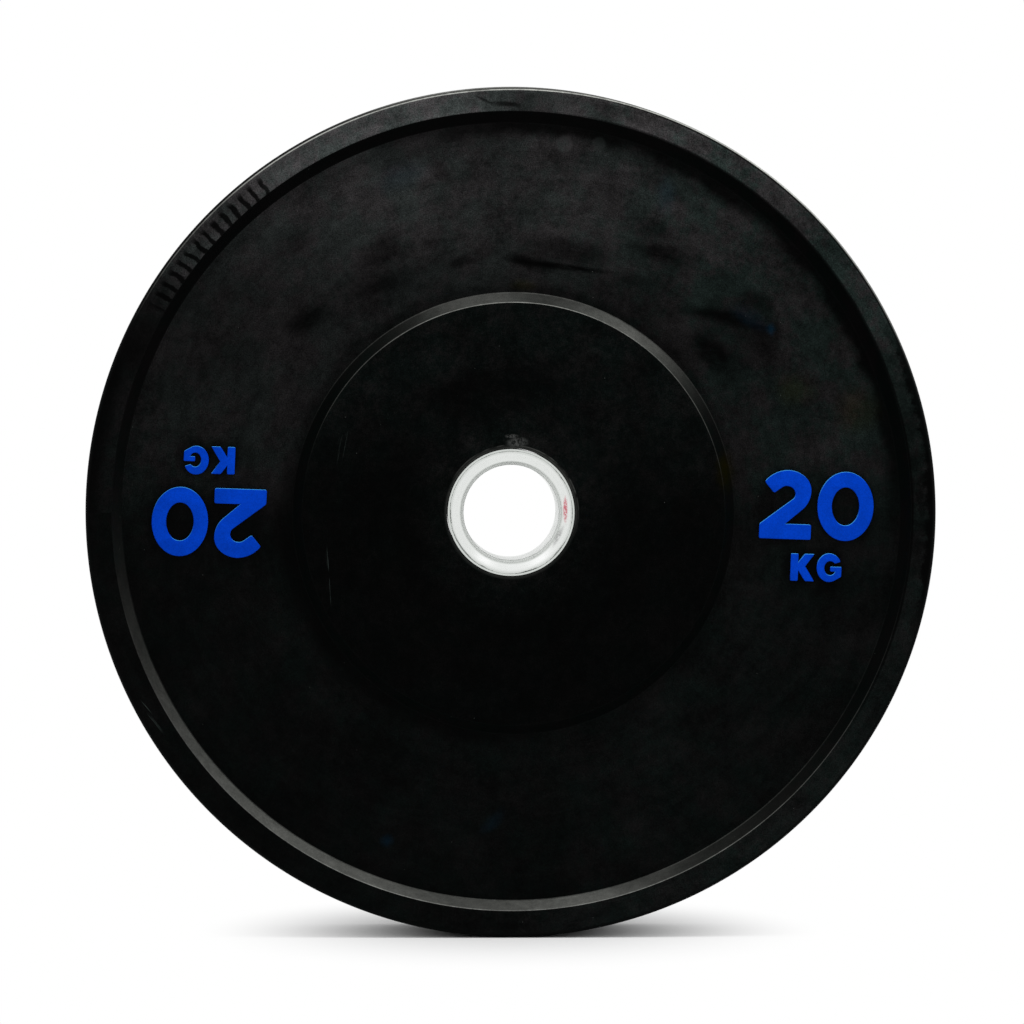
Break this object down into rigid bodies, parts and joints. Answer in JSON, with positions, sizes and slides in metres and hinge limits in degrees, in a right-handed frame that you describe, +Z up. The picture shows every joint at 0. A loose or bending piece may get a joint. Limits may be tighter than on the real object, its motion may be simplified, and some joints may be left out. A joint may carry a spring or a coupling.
{
  "type": "weight plate",
  "caption": "Solid rubber bumper plate with a raised hub, a sunken dish and a raised rim on both faces, round a flanged steel bore insert.",
  "frame": {"origin": "centre of the bore at mid-thickness, which is the centre of the plate", "axes": "+Y along the bore from the front face to the back face, +Z up with the plate standing on its rim, +X to the right as seen from the front"},
  "size_m": [0.45, 0.08, 0.45],
  "materials": {
    "black_rubber": "semi-gloss moulded rubber",
    "bright_steel": "turned and lightly polished",
    "mild_steel": "as rolled, buried in the rubber",
    "blue_rubber": "coloured rubber figures"
  },
  "bodies": {
    "root": {"rubber_body": "black_rubber", "hub_tube": "bright_steel", "front_bush": "bright_steel", "back_bush": "bright_steel", "anchor_plate": "mild_steel"}
  },
  "joints": []
}
